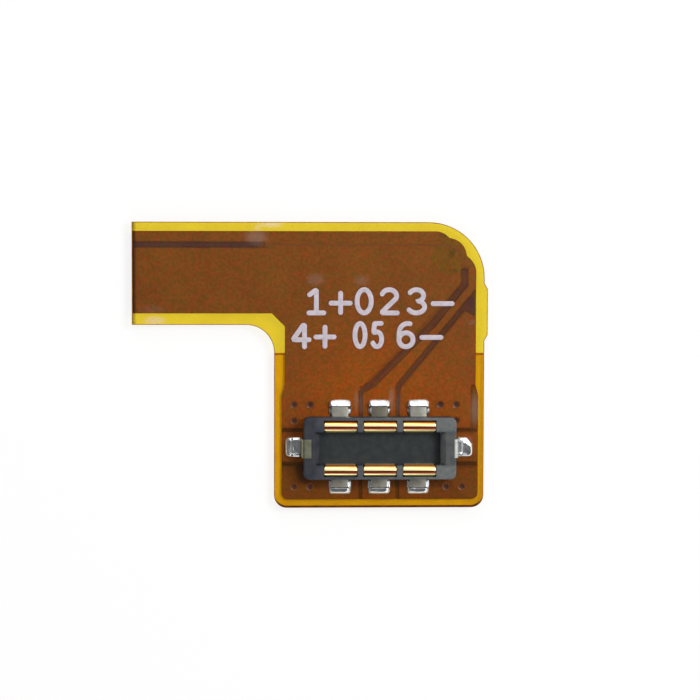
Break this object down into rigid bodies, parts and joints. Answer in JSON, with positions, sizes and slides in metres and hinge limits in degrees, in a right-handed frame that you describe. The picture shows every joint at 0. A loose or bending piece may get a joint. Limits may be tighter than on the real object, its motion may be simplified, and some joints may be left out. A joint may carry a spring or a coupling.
{
  "type": "phone battery connector flex",
  "caption": "L-shaped two-layer flex circuit strip with a soldered low-profile board connector and a stiffener, the lead end of a phone battery.",
  "frame": {"origin": "under the middle of the outline, on the surface that the stiffener rests on", "axes": "+X along the strip towards the connector end, +Y up the connector end, +Z out of the connector's mating side"},
  "size_m": [0.0142, 0.0114, 0.0012],
  "materials": {
    "cover_film": "clear amber film, satin gloss",
    "base_film": "clear amber film",
    "copper": "rolled copper foil",
    "stiffener": "matt amber laminate",
    "adhesive": "cured sheet adhesive",
    "housing": "moulded, fine matt",
    "gold_contact": "gold plated, bright",
    "tinned_clip": "tin plated",
    "solder": "bright reflowed solder"
  },
  "bodies": {
    "root": {"back_copper_negative": "copper", "back_copper_positive": "copper", "back_copper_sense": "copper", "back_cover_film": "cover_film", "base_film": "base_film", "clip_left": "tinned_clip", "clip_right": "tinned_clip", "connector_housing": "housing", "contact_1": "gold_contact", "contact_2": "gold_contact", "contact_3": "gold_contact", "contact_4": "gold_contact", "contact_5": "gold_contact", "contact_6": "gold_contact", "copper_anchor_left": "copper", "copper_anchor_right": "copper", "copper_negative": "copper", "copper_negative_lower": "copper", "copper_positive": "copper", "copper_positive_lower": "copper", "copper_sense": "copper", "copper_sense_lower": "copper", "solder_1": "solder", "solder_2": "solder", "solder_3": "solder", "solder_4": "solder", "solder_5": "solder", "solder_6": "solder", "solder_left": "solder", "solder_right": "solder", "stiffener": "stiffener", "stiffener_adhesive": "adhesive", "top_cover_film": "cover_film", "via_barrels": "copper"}
  },
  "joints": []
}
